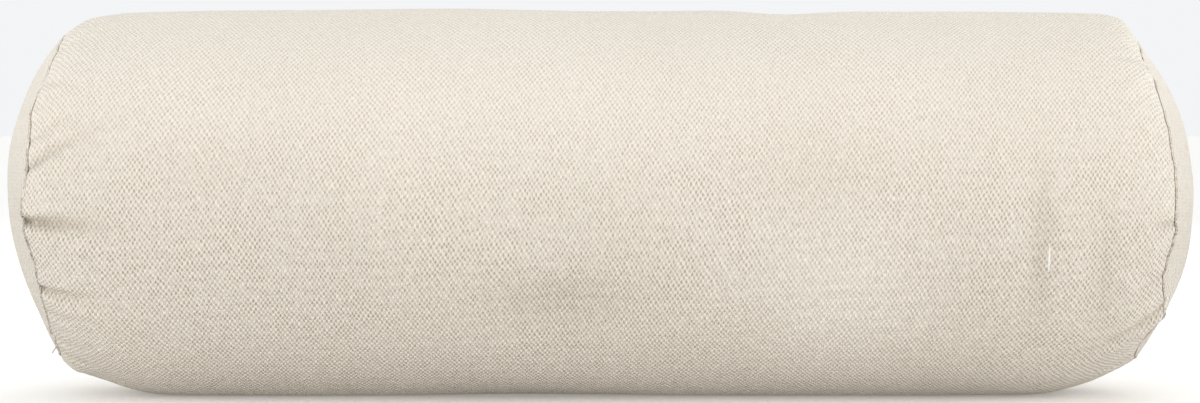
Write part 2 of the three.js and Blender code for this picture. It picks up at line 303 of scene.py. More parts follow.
WEAVE_ACROSS = 2.42 * MM  # between two pits in a row
WEAVE_ALONG = 3.66 * MM  # between two rows that line up
ROW_LEAN, COLUMN_LEAN = 0.045, 0.03
ROW_DRIFT, COLUMN_DRIFT = 14 * MM, -9 * MM  # slow wander of the whole weave
YARN_WANDER = 4.4  # of single yarns, in radians of the weave
PIT_NARROWING = 0.42  # makes the pits oval
PIT_EDGE = 0.6  # how softly a pit begins
PIT_SHADE_LOW, PIT_SHADE_HIGH = 45 * MM, 195 * MM  # heights between which the pits' painted shade and their bump fade towards the top; low down the light grazes the cloth and shows them more
LOW_CONTRAST, HIGH_CONTRAST = 1.15, 0.42
GRAIN = (0.80, 0.74, 0.655)
GROUND = (0.69, 0.63, 0.545)
FIBRE_TIP = (0.95, 0.92, 0.86)
CLOUDED = (0.72, 0.65, 0.54)
FOLD_SHADE = (0.4, 0.33, 0.25)
PAINTED_LIGHT_TINT = (0.97, 0.92, 0.84)
BETWEEN_STRANDS = (0.5, 0.44, 0.36)
# painted shade in the weave's pits
PIT_SHADE = (0.41, 0.325, 0.235)


def woven_cloth(name, on_barrel):
    """The cover's cloth: pale raised yarns round rows of small oval pits, each row set off by half."""
    nodes = Nodes(name)
    where, xyz = nodes.position()
    if on_barrel:
        across, along = xyz[0], around_axis(nodes, xyz)
    else:
        across, along = xyz[1], xyz[2]
    drift = nodes.math("SUBTRACT", nodes.noise(where, 7.0, 1.0), 0.5)
    jitter = nodes.math("SUBTRACT", nodes.noise(where, 150.0, 2.0), 0.5)
    sway = nodes.math("SUBTRACT", nodes.noise(nodes.combine(along, across, 0.3), 160.0, 2.0), 0.5)
    lean = nodes.math("MULTIPLY", along, ROW_LEAN)
    u = nodes.math("ADD", nodes.math("ADD", across, lean), nodes.math("MULTIPLY", drift, ROW_DRIFT))
    drifted = nodes.math("MULTIPLY_ADD", drift, COLUMN_DRIFT, along)
    v = nodes.math("MULTIPLY_ADD", across, COLUMN_LEAN, drifted)
    u = nodes.math("MULTIPLY_ADD", u, TAU / WEAVE_ACROSS, nodes.math("MULTIPLY", jitter, YARN_WANDER))
    v = nodes.math("MULTIPLY_ADD", v, TAU / WEAVE_ALONG, nodes.math("MULTIPLY", sway, YARN_WANDER))
    sine = nodes.math("SINE", u)
    narrow = nodes.math("MULTIPLY", nodes.math("MULTIPLY", sine, sine), PIT_NARROWING)
    lattice = nodes.math("MULTIPLY", nodes.math("COSINE", u), nodes.math("COSINE", v))
    lattice = nodes.math("SUBTRACT", lattice, narrow)

    single = nodes.remap(nodes.noise(where, 430.0, 0.0), 0.25, 0.75)
    patch = nodes.remap(nodes.noise(where, 42.0, 2.0), 0.3, 0.7)
    open_at = nodes.math("MULTIPLY_ADD", single, 0.8, nodes.math("MULTIPLY_ADD", patch, 0.28, -0.22))
    pit = nodes.remap(lattice, open_at, nodes.math("ADD", open_at, PIT_EDGE))
    grain = nodes.remap(lattice, 0.5, -1.1)
    strands = nodes.math("SINE", nodes.math("MULTIPLY_ADD", v, 0.5, nodes.math("MULTIPLY", u, 4.0)))
    fibre = nodes.noise(nodes.combine(across, nodes.math("MULTIPLY", along, 0.4), 0.0), 1500.0, 2.0, 0.7)
    cloud = nodes.noise(where, 16.0, 3.0)

    colour = nodes.mix(grain, GROUND, GRAIN)
    # painted shade: the pits' dark colour, strongest low down where the light grazes; the same factor scales
    # the bump
    contrast = nodes.remap(xyz[2], PIT_SHADE_LOW, PIT_SHADE_HIGH, LOW_CONTRAST, HIGH_CONTRAST)
    colour = nodes.mix(nodes.math("MULTIPLY", pit, contrast), colour, PIT_SHADE)
    colour = nodes.mix(nodes.remap(fibre, 0.3, 0.75, 0.0, 0.16), colour, FIBRE_TIP)
    colour = nodes.mix(nodes.remap(cloud, 0.35, 0.7, 0.0, 0.12), colour, CLOUDED)
    if on_barrel:
        # painted shade in the gathers and dents
        colour = nodes.mix(nodes.math("MULTIPLY", nodes.attribute("painted_fold_shade"), 0.34), colour, FOLD_SHADE)
        # painted light: paler patches where the light falls more strongly
        colour = nodes.mix(nodes.math("MULTIPLY", nodes.attribute("painted_light"), 0.32), colour, PAINTED_LIGHT_TINT)
    colour = nodes.mix(nodes.remap(strands, -1.0, 1.0, 0.0, 0.1), colour, BETWEEN_STRANDS)
    raised = nodes.math("MULTIPLY_ADD", strands, 0.12, nodes.math("MULTIPLY_ADD", fibre, 0.25, grain))
    height = nodes.math("MULTIPLY_ADD", lattice, -0.7, raised)
    nodes.bump(nodes.math("MULTIPLY", height, contrast), 0.5 * MM, 0.9)
    return nodes.finish(colour, nodes.remap(pit, 0.0, 1.0, 0.86, 0.97), sheen=0.2)


def plain_weave(name, colour, thread, dark=0.72, sheen=0.15):
    """Two sets of threads over and under each other, for the ticking and the zip's tape."""
    nodes = Nodes(name)
    where, xyz = nodes.position()
    turn = TAU / thread
    along = around_axis(nodes, xyz)
    u = nodes.math("SINE", nodes.math("MULTIPLY", xyz[0], turn))
    v = nodes.math("SINE", nodes.math("MULTIPLY", along, turn))
    weave = nodes.math("MULTIPLY", u, v)
    slub = nodes.noise(nodes.combine(nodes.math("MULTIPLY", xyz[0], 0.1), along, xyz[2]), 900.0, 2.0)
    shade = nodes.remap(nodes.math("MULTIPLY_ADD", slub, 0.8, weave), -0.7, 1.2)
    low = darker(colour, dark)
    cloud = nodes.noise(where, 22.0, 3.0)
    tone = nodes.mix(shade, low, colour)
    tone = nodes.mix(nodes.remap(cloud, 0.3, 0.8, 0.0, 0.2), tone, low)
    nodes.bump(nodes.math("ADD", weave, slub), 0.12 * MM, 0.6)
    return nodes.finish(tone, 0.88, sheen=sheen)


PLY_TWIST = 9000.0  # radians per metre


def spun_thread(name, colour):
    """Twisted sewing thread."""
    nodes = Nodes(name)
    where, xyz = nodes.position()
    diagonal = nodes.math("ADD", xyz[0], nodes.math("ADD", xyz[1], xyz[2]))
    ply = nodes.math("SINE", nodes.math("MULTIPLY", diagonal, PLY_TWIST))
    fuzz = nodes.noise(where, 3000.0, 2.0)
    dark = darker(colour, 0.6)
    tone = nodes.mix(nodes.remap(nodes.math("ADD", ply, fuzz), -0.8, 1.6), dark, colour)
    nodes.bump(nodes.math("ADD", ply, fuzz), 0.06 * MM, 0.5)
    return nodes.finish(tone, 0.7, sheen=0.2)


def fluffy(name, colour):
    """Polyester batting: matted fibres."""
    nodes = Nodes(name)
    where, xyz = nodes.position()
    stretched = nodes.combine(nodes.math("MULTIPLY", xyz[0], 0.25), xyz[1], xyz[2])
    strand = nodes.noise(stretched, 700.0, 4.0, 0.7)
    tuft = nodes.noise(where, 60.0, 4.0, 0.6)
    mixed = nodes.math("MULTIPLY_ADD", tuft, 0.8, strand)
    low = darker(colour, 0.8)
    nodes.bump(mixed, 1.2 * MM, 0.8)
    return nodes.finish(nodes.mix(nodes.remap(mixed, 0.5, 1.25), low, colour), 0.98, sheen=0.4)


def foam(name, colour):
    """Open-cell foam: fine pores of several sizes."""
    nodes = Nodes(name)
    where, _ = nodes.position()
    cells = nodes.tree.nodes.new("ShaderNodeTexVoronoi")
    nodes.feed(cells.inputs["Vector"], where)
    cells.inputs["Scale"].default_value = 900.0
    pore = nodes.remap(cells.outputs["Distance"], 0.1, 0.5)
    blotch = nodes.noise(where, 40.0, 3.0)
    low = darker(colour, 0.62)
    shade = nodes.math("MULTIPLY_ADD", blotch, 0.3, nodes.math("MULTIPLY", pore, 0.8))
    tone = nodes.mix(shade, low, colour)
    nodes.bump(pore, 0.5 * MM, 0.8)
    return nodes.finish(tone, 0.95, sheen=0.1)


def nylon(name, colour):
    nodes = Nodes(name)
    where, _ = nodes.position()
    haze = nodes.noise(where, 400.0, 2.0)
    dark = darker(colour, 0.85)
    nodes.bump(haze, 0.02 * MM, 0.4)
    return nodes.finish(nodes.mix(haze, dark, colour), nodes.remap(haze, 0.2, 0.8, 0.34, 0.5))


def nickel(name):
    """Plated zinc, brushed in use and a little duller in patches."""
    nodes = Nodes(name)
    where, xyz = nodes.position()
    brushed = nodes.noise(nodes.combine(nodes.math("MULTIPLY", xyz[0], 0.06), xyz[1], xyz[2]), 2200.0, 3.0)
    smudge = nodes.noise(where, 160.0, 3.0)
    tone = nodes.mix(smudge, (0.52, 0.5, 0.46), (0.68, 0.66, 0.62))
    nodes.bump(brushed, 0.02 * MM, 0.3)
    worn = nodes.math("ADD", brushed, smudge)
    return nodes.finish(tone, nodes.remap(worn, 0.6, 1.4, 0.22, 0.42), metallic=1.0)


# ------------------------------------------------------------------ mesh helpers

def add_object(name, vertices, faces, material):
    """A smooth piece on the bolster's body, from points in any array shape and lists of corners."""
    mesh = bpy.data.meshes.new(name)
    mesh.from_pydata(vertices.reshape(-1, 3).tolist(), [], faces)
    mesh.update()
    mesh.shade_smooth()
    piece = new_object(name, mesh)
    piece.data.materials.append(material)
    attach(piece, "bolster")
    return piece


def grid_faces(rows, columns, wrap=False):
    """Quads between neighbouring rows and columns; wrap joins the last column to the first."""
    row = np.arange(rows - 1)[:, None] * columns
    column = np.arange(columns if wrap else columns - 1)[None, :]
    after = (column + 1) % columns
    quads = [row + column, row + after, row + columns + after, row + columns + column]
    return np.stack(quads, axis=-1).reshape(-1, 4).tolist()


def closed_faces(rows, columns, flip=False, open_start=False):
    """A wrapped grid with a face over its last row, and over its first unless that stays open."""
    faces = grid_faces(rows, columns, wrap=True)
    if not open_start:
        faces.append(list(reversed(range(columns))))
    faces.append(list(range((rows - 1) * columns, rows * columns)))
    return [face[::-1] for face in faces] if flip else faces


def thicken(piece, thickness):
    """Gives a sheet its cloth thickness, inwards."""
    modifier = piece.modifiers.new("thickness", "SOLIDIFY")
    modifier.thickness = thickness
    modifier.offset = -1
    apply_modifiers(piece)


def apply_modifiers(piece):
    graph = bpy.context.evaluated_depsgraph_get()
    mesh = bpy.data.meshes.new_from_object(piece.evaluated_get(graph))
    old = piece.data
    piece.modifiers.clear()
    piece.data = mesh
    bpy.data.meshes.remove(old)


TUBE_SIDES = 6
TUBE_TIP = 0.35  # share of a tube's radius that is left at its ends


def tubes(paths, radius):
    """Round tubes along paths, an array of tubes x points x 3, closed at both ends."""
    paths = np.asarray(paths, float)
    count, steps, _ = paths.shape
    ahead = np.concatenate([paths[:, 1:], paths[:, -1:]], axis=1)
    behind = np.concatenate([paths[:, :1], paths[:, :-1]], axis=1)
    tangent = ahead - behind
    tangent /= np.linalg.norm(tangent, axis=2, keepdims=True)
    helper = np.where(np.abs(tangent[..., :1]) > 0.8, [[[0, 0, 1.0]]], [[[1.0, 0, 0]]])
    side = np.cross(tangent, helper)
    side /= np.linalg.norm(side, axis=2, keepdims=True)
    up = np.cross(tangent, side)
    turn = (np.arange(TUBE_SIDES) * TAU / TUBE_SIDES)[:, None]
    thick = np.full(steps, radius)
    thick[[0, -1]] = radius * TUBE_TIP
    ring = np.cos(turn) * side[:, :, None] + np.sin(turn) * up[:, :, None]
    vertices = paths[:, :, None] + ring * thick[:, None, None]
    return merge([(tube, closed_faces(steps, TUBE_SIDES)) for tube in vertices])


def merge(parts):
    """Joins (vertices, faces) pairs into one pair."""
    vertices, faces, base = [], [], 0
    for points, polygons in parts:
        vertices.append(points.reshape(-1, 3))
        faces.extend([i + base for i in polygon] for polygon in polygons)
        base += len(vertices[-1])
    return np.concatenate(vertices), faces


def round_points(x, radius, angle):
    """Points at these distances and angles round the axis."""
    y = radius * np.cos(angle)
    z = AXIS_Z + radius * np.sin(angle)
    return np.stack(np.broadcast_arrays(x, y, z), axis=-1)


# ------------------------------------------------------------------ form of the stuffed cover

def apart(angle, other):
    """Signed difference of two angles, the short way round."""
    return (angle - other + math.pi) % TAU - math.pi


RING_RISE = {-1: 4.5 * MM, 1: 2.2 * MM}  # how far each end seam's ring sits above the axis
RING_RADIUS = {-1: 87 * MM, 1: 85 * MM}
TOP_POWER = {-1: 4.4, 1: 8.5}  # how square the shoulder is on top
SIDE_POWER = 3.6
SLACK_POWER = 1.6  # taken off below, where the shoulder hangs slack
SLACK_START = 20 * MM  # and starts this much sooner
CROWN_POWER = 6


def ring_radius(end, angle):
    """Distance of an end seam from the axis."""
    rise = RING_RISE[end]
    return rise * np.sin(angle) + np.sqrt(RING_RADIUS[end] ** 2 - (rise * np.cos(angle)) ** 2)


def barrel_radius(x, angle):
    """The plain form: a full barrel, its shoulders square on top and slack below."""
    along = np.abs(x)
    up = np.clip(np.sin(angle), 0, 1) ** 1.5
    down = np.clip(-np.sin(angle), 0, 1) ** 1.5
    start = SHOULDER_X - SLACK_START * down
    shoulder = np.clip((along - start) / (SEAM_X - start), 0, 1)
    crown = RADIUS - CROWN_DROP * (along / SEAM_X) ** CROWN_POWER
    total = 0
    for end, chosen in ((-1, x < 0), (1, x >= 0)):
        power = SIDE_POWER + (TOP_POWER[end] - SIDE_POWER) * up - SLACK_POWER * down
        drop = RADIUS - CROWN_DROP - ring_radius(end, angle)
        total = total + np.where(chosen, crown - drop * shoulder ** power, 0)
    return total


# Soft swellings and dents: x and elevation on the front, half-sizes along and round, height. In mm.
SWELLINGS = [
    (-70, 88, 55, 55, 1.3),
    (35, 86, 45, 50, -1.2),
    (97, 88, 22, 60, -2.2),
    (165, 86, 60, 50, -0.6),
    (-35, -78, 60, 22, -2.0),
    (-277, -72, 9, 16, 3.0),
    (-20, -28, 42, 18, -3.6),
    (-44, -14, 40, 14, 1.2),
    (-95, -34, 40, 26, 1.4),
    (40, -30, 40, 26, 1.6),
    (145, -38, 36, 26, 1.2),
    (219, -14, 7, 42, -2.8),
    (205, -10, 7, 50, 0.9),
    (234, -16, 7, 44, 1.3),
    (250, -20, 6, 34, -1.8),
    (120, 10, 60, 26, -1.2),
    (-190, 12, 34, 22, -1.3),
    (-230, -30, 24, 18, 1.0),
    (-150, 178, 70, 40, 1.2),
    (60, 150, 60, 34, -1.2),
    (-40, 215, 70, 36, 1.0),
    (170, 222, 50, 30, -1.2),
]

# Painted pools of light, pale patches in the cloth's colour: x and elevation on the front, half-sizes along
# and round, strength.
PAINTED_LIGHT_SPOTS = [
    (118, -24, 46, 48, 1.0),
    (-40, 30, 120, 40, 0.2),
]

# Gathers that run in from an end seam: end, elevation, length, half-width, depth, slant in mm per mm.
GATHERS = [
    (-1, -4.0, 32, 4.8, 7.0, 0.06),
    (-1, -29, 27, 4.6, 4.6, -0.12),
    (-1, -39, 17, 3.4, 1.6, -0.25),
    (-1, 13, 30, 4.0, 3.2, -0.55),
    (-1, 22, 22, 3.4, 2.0, -0.45),
    (-1, 44, 14, 4.0, 0.9, 0.2),
    (-1, -54, 16, 4.2, 1.3, -0.3),
    (1, -5, 12, 2.6, 3.4, 0.05),
    (1, -37, 30, 4.8, 3.8, 0.55),
    (1, -24, 15, 3.2, 1.5, 0.3),
    (1, 22, 14, 3.4, 1.0, -0.3),
    (1, 52, 16, 4.6, 1.2, 0.3),
    (-1, 96, 16, 4.4, 1.2, 0.2),
    (-1, 131, 18, 4.0, 1.4, -0.2),
    (-1, 158, 15, 3.6, 1.0, 0.1),
    (-1, 205, 17, 4.2, 1.5, 0.2),
    (-1, 236, 14, 4.0, 1.1, -0.2),
    (1, 88, 15, 4.2, 1.1, -0.2),
    (1, 118, 19, 4.2, 1.5, 0.3),
    (1, 150, 14, 3.4, 1.0, 0.1),
    (1, 198, 16, 4.0, 1.3, -0.1),
    (1, 229, 18, 4.4, 1.5, 0.3),
]


def soft_spots(spots, x, angle):
    """The sum of soft round spots, each given by place, elevation, half-sizes in mm and height."""
    total = np.zeros(np.broadcast(x, angle).shape)
    for place, elevation, length, width, height in spots:
        along = (x / MM - place) / length
        around = apart(angle, at_front(elevation)) * RADIUS / MM / width
        total += height * np.exp(-(along ** 2) - around ** 2)
    return total


def swelling(x, angle):
    return soft_spots(SWELLINGS, x, angle) * MM


def gathering(x, angle):
    """Valley and, below it, the ridge of the cloth that it takes up. It widens away from the seam."""
    total = np.zeros(np.broadcast(x, angle).shape)
    for end, elevation, length, width, depth, slant in GATHERS:
        inward = np.clip((SEAM_X - x * end) / MM, 0, None)
        line = at_front(elevation) + slant * inward * MM / RADIUS
        spread = width * (0.62 + 0.5 * inward / length)
        side = apart(line, angle) * RADIUS / MM / spread  # positive above the gather
        fade = np.exp(-((inward / length) ** 2)) * (1 - 0.35 * np.exp(-inward / 2))
        valley = np.exp(-(side ** 2))
        ridges = 0.55 * np.exp(-((side + 2.2) / 1.35) ** 2) + 0.2 * np.exp(-((side - 2.4) / 1.5) ** 2)
        total += depth * MM * fade * (ridges - valley)
    return total


CURVE_STEPS = 720
CURVE_SMOOTHING = 6.0  # steps
CURVE_REACH = 16


def round_curve(anchors, back):
    """A smooth closed curve over the angle: (elevation on the front, value) pairs, and back behind."""
    behind = np.radians([-50, -10, 30]) % TAU
    places = np.concatenate([[at_front(elevation) for elevation, _ in anchors], behind])
    values = np.concatenate([[value for _, value in anchors], np.full(len(behind), back)])
    order = np.argsort(places)
    steps = np.arange(CURVE_STEPS) * TAU / CURVE_STEPS
    curve = np.interp(steps, places[order], values[order], period=TAU)
    kernel = np.exp(-(np.arange(-CURVE_REACH, CURVE_REACH + 1) / CURVE_SMOOTHING) ** 2)
    padded = np.concatenate([curve[-CURVE_REACH:], curve, curve[:CURVE_REACH]])
    return np.convolve(padded, kernel / kernel.sum(), mode="valid")


def along_curve(curve, angle):
    return np.interp(angle % TAU, np.arange(len(curve)) * TAU / len(curve), curve, period=TAU)


# How far each end seam stands out from its plane, in mm, over the elevation on the front.
SEAM_WANDER = {
    -1: round_curve([
        (92, -3.5), (80, -5.3), (60, -5.4), (48, -4.0), (35, 0.9), (9, 1.0), (1, 4.4), (-9, 1.8),
        (-18, -1.4), (-33, -3.6), (-50, -4.6), (-62, -4.6), (-88, -2),
    ], 0.2),
    1: round_curve([
        (92, -0.8), (76, -4.0), (58, -5.6), (45, -2.0), (30, 0.2), (16, 2.4), (-7, 3.2), (-20, -1.2),
        (-29, -1.2), (-41, 2.2), (-49, -2.2), (-57, -6.6), (-70, -6.2), (-88, -1.5),
    ], 0.2),
}
# How open each end seam is: 0 has the cloth tight over it, 1 shows a thin line, 2 shows its stitches.
SEAM_OPENNESS = {
    -1: round_curve([
        (80, 0.9), (62, 1.2), (54, 1.0), (49, 0.1), (42, 0.1), (36, 1.2), (12, 1.2), (7, 0.2), (-46, 0.1),
        (-56, 0.7), (-80, 0.5),
    ], 0.8),
    1: round_curve([
        (84, 0.8), (70, 1.5), (52, 2.1), (42, 1.7), (30, 1.2), (-8, 1.4), (-16, 0.6), (-22, 1.1),
        (-34, 1.0), (-40, 0.2), (-46, 1.6), (-62, 2.1), (-80, 1.0),
    ], 0.8),
}


def seam_shift(end, angle):
    """How far the end seam wanders along the axis."""
    waver = np.sin(17 * angle + end) + 0.7 * np.sin(31 * angle) + 0.5 * np.sin(52 * angle + 2)
    return end * along_curve(SEAM_WANDER[end], angle) * MM + 0.22 * MM * waver


def seam_openness(end, angle):
    return np.clip(along_curve(SEAM_OPENNESS[end], angle), 0, 2.2)


def lumps(x, angle):
    """Faint unevenness of the filling, periodic round the axis."""
    total = np.zeros(np.broadcast(x, angle).shape)
    for index in range(14):
        around = (index * 5) % 9 + 1
        along = 9 + 7 * ((index * 4) % 7)
        phase = 2.4 * index
        total = total + np.sin(around * angle + phase) * np.sin(along * x + 1.3 * phase)
    return 0.11 * MM * total


def ease(t):
    """Carries 0 to 1 over without a corner at either end."""
    return t * t * (3 - 2 * t)


def zip_calm(x, angle):
    """1 away from the zip, falling to 0 along it, where the tape holds the cloth straight."""
    arc = np.abs(apart(angle, ZIP_ANGLE)) * RADIUS
    near = np.clip((arc - 13 * MM) / (22 * MM), 0, 1)
    beyond = np.clip((np.abs(x) - (SLOT_END + 6 * MM)) / (25 * MM), 0, 1)
    return ease(np.maximum(near, beyond))


class Stuffing:
    """The offsets that the cloth simulation gives, on a grid of rows along X and columns round it."""

    rows, columns = 127, 150
    dome_rows = 13
    steps = 12
    roughness = 0.01  # share of the radius by which the start is uneven
    slack = -0.06  # extra width of the cloth near the end seams, as a negative shrinkage
    most = 2.5 * MM
    strength = 0.8

    def __init__(self):
        self.x = np.linspace(-SEAM_X, SEAM_X, self.rows)
        self.angle = np.arange(self.columns) * TAU / self.columns
        self.barrel = np.zeros((self.rows, self.columns))
        self.simulate()

    def outline(self):
        """Rows of (x, radius) from end to end, with the angle 0 standing for all."""
        ratio = np.linspace(0.08, 1, self.dome_rows, endpoint=False)
        dome = np.stack([SEAM_X + DOME * (1 - ratio ** 2), SEAM_RADIUS * ratio], axis=1)
        barrel = np.stack([self.x, barrel_radius(self.x, 0.0)], axis=1)
        return np.concatenate([dome * [-1, 1], barrel, dome[::-1]])

    def simulate(self):
        """Blows up the sewn cover. Near the end seams the cloth has more width than the seam takes up."""
        formed = self.outline()
        rows = len(formed)
        rough = rng.normal(size=(rows, self.columns))
        for _ in range(6):
            rough = (rough + np.roll(rough, 1, axis=1) + np.roll(rough, -1, axis=1)) / 3
            rough[1:-1] = (rough[:-2] + rough[1:-1] + rough[2:]) / 3
        start = round_points(formed[:, :1], formed[:, 1:] * (1 + self.roughness * rough), self.angle)
        mesh = bpy.data.meshes.new("stuffing")
        mesh.from_pydata(start.reshape(-1, 3).tolist(), [], closed_faces(rows, self.columns))
        cover = new_object("stuffing", mesh)

        seams = cover.vertex_groups.new(name="seams")
        tight = cover.vertex_groups.new(name="tight")
        middle = range(self.dome_rows, self.dome_rows + self.rows)
        eased = np.clip((np.abs(formed[:, 0]) - SHOULDER_X) / (SEAM_X - SHOULDER_X), 0, 1)
        for row in range(rows):
            ring = list(range(row * self.columns, (row + 1) * self.columns))
            if row in (0, middle[0], middle[-1], rows - 1):
                seams.add(ring, 1.0, "REPLACE")
            tight.add(ring, 1 - eased[row] if row in middle else 1.0, "REPLACE")
        cloth = cover.modifiers.new("cloth", "CLOTH")
        settings = cloth.settings
        settings.quality = 6
        settings.mass = 0.01
        settings.tension_stiffness = 15
        settings.compression_stiffness = 15
        settings.shear_stiffness = 5
        settings.bending_stiffness = 0.01
        settings.use_pressure = True
        settings.uniform_pressure_force = 100
        settings.effector_weights.gravity = 0
        settings.vertex_group_mass = "seams"
        settings.pin_stiffness = 1
        settings.vertex_group_shrink = "tight"
        settings.shrink_min = self.slack
        settings.shrink_max = 0
        cloth.collision_settings.use_collision = False
        scene = bpy.context.scene
        for step in range(1, self.steps + 1):
            scene.frame_set(step)
        graph = bpy.context.evaluated_depsgraph_get()
        result = cover.evaluated_get(graph).to_mesh()
        flat = np.empty(len(result.vertices) * 3, np.float32)
        result.vertices.foreach_get("co", flat)
        after = flat.reshape(rows, self.columns, 3).astype(float)
        bpy.data.objects.remove(cover)
        scene.frame_set(1)

        grown = np.hypot(after[..., 1], after[..., 2] - AXIS_Z) - formed[:, 1:]
        grown = grown[self.dome_rows:self.dome_rows + self.rows]
        uneven = grown - grown.mean(axis=1, keepdims=True)
        self.barrel = self.strength * self.most * np.tanh(uneven / self.most)

    def offset(self, x, angle):
        """Smooth values between the grid's points."""
        row = np.clip((x + SEAM_X) / (2 * SEAM_X) * (self.rows - 1), 0, self.rows - 1.001)
        column = (angle % TAU) / TAU * self.columns
        row, column = np.broadcast_arrays(row, column)
        r0, c0 = np.floor(row).astype(int), np.floor(column).astype(int)
        total = np.zeros(row.shape)
        for i, row_weight in enumerate(cubic_weights(row - r0)):
            picked = np.clip(r0 + i - 1, 0, self.rows - 1)
            for k, column_weight in enumerate(cubic_weights(column - c0)):
                value = self.barrel[picked, (c0 + k - 1) % self.columns]
                total += row_weight * column_weight * value
        return total


def cubic_weights(t):
    """Catmull-Rom weights of the four neighbours."""
    return (
        0.5 * (-t + 2 * t ** 2 - t ** 3),
        0.5 * (2 - 5 * t ** 2 + 3 * t ** 3),
        0.5 * (t + 4 * t ** 2 - 3 * t ** 3),
        0.5 * (-(t ** 2) + t ** 3),
    )


stuffing = Stuffing()


def folded(x, angle):
    """0 on open cloth, to 1 in the bottom of a gather or dent: the share of painted shade in the cloth's
    colour there.
    """
    gathered = np.clip(-gathering(x, angle) / (4 * MM), 0, 1)
    dented = np.clip(-swelling(x, angle) / (3 * MM), 0, 1)
    dented = dented * np.cos(angle) ** 2  # on top the light fills a dent
    return np.clip((gathered + 0.6 * dented) * zip_calm(x, angle), 0, 1)


def cover_radius(x, angle):
    """Radius of the cover's outside, before it is flattened where it rests."""
    x = np.clip(x, -SEAM_X, SEAM_X)
    loose = stuffing.offset(x, angle) + swelling(x, angle) + gathering(x, angle) + lumps(x, angle)
    return barrel_radius(x, angle) + loose * zip_calm(x, angle)


SOFT_EDGE = 1.0 * MM  # of the flat that the bolster rests on


def settle(points, floor=0.0):
    """Presses what would lie below the floor flat onto it."""
    above = points[..., 2] - floor
    points[..., 2] = floor + 0.5 * (above + np.sqrt(above ** 2 + SOFT_EDGE ** 2))
    return points


def zip_points(x, out, across):
    """Points in the zip's own frame: out of the bolster, and across the zip."""
    x, out, across = np.broadcast_arrays(np.asarray(x, float), out, across)
    y = out * math.cos(ZIP_ANGLE) - across * math.sin(ZIP_ANGLE)
    z = AXIS_Z + out * math.sin(ZIP_ANGLE) + across * math.cos(ZIP_ANGLE)
    return np.stack([x, y, z], axis=-1)


def in_zip_frame(points):
    """How far out and across these points are: zip_points the other way round."""
    y, up = points[..., 1], points[..., 2] - AXIS_Z
    cosine, sine = math.cos(ZIP_ANGLE), math.sin(ZIP_ANGLE)
    return y * cosine + up * sine, -y * sine + up * cosine


# ------------------------------------------------------------------ cover

HEM_ROLL = 0.8 * MM  # radius of a folded edge


def slot_edge(x):
    """Half-width of the gap between the panel's long edges: a slot at the zip, closed beyond it."""
    closed = ease(np.clip((np.abs(x) - (SLOT_END - 5 * MM)) / (11 * MM), 0, 1))
    return SLOT_HALF * (1 - closed) + 0.06 * MM * closed


def walk(start, stop, spacing):
    """Places from start to stop, as far apart as spacing(place) says."""
    places = [start]
    while places[-1] < stop:
        places.append(places[-1] + spacing(places[-1]))
    places = np.array(places)
    return start + (places - start) * (stop - start) / (places[-1] - start)


BARREL_EDGE = SEAM_X - 1.5 * MM
ROW_SPACINGS = ((200 * MM, 10 * MM), (245 * MM, 3.0 * MM), (SEAM_X, 1.25 * MM))  # up to X, spacing
FRONT_SPACING = 1.8 * MM
BACK_SPACING = 3.0 * MM
ZIP_BAND = 14 * MM  # beside the zip the columns stand closer


def panel_rows():
    """Places along X, closer near the seams."""
    def spacing(x):
        return next(step for limit, step in ROW_SPACINGS if x < limit)

    half = walk(0.0, BARREL_EDGE, spacing)
    return np.concatenate([-half[:0:-1], half])


def panel_columns():
    """Shares of the way round from the zip, closer at its edges and over the front."""
    around = TAU * RADIUS

    def spacing(place):
        from_edge = min(place, around - place)
        if from_edge < ZIP_BAND:
            return 0.9 * MM + 0.1 * from_edge
        in_front = at_front(85) < ZIP_ANGLE + place / RADIUS < at_front(-70)
        return FRONT_SPACING if in_front else BACK_SPACING

    return walk(0.0, around, spacing) / around


HEM_FOLD = np.radians([25, 55, 90, 125, 155, 180])
STITCH_DIP = 0.35 * MM  # the zip's stitching pulls the cloth in this much, over this width
STITCH_DIP_WIDTH = 1.1 * MM


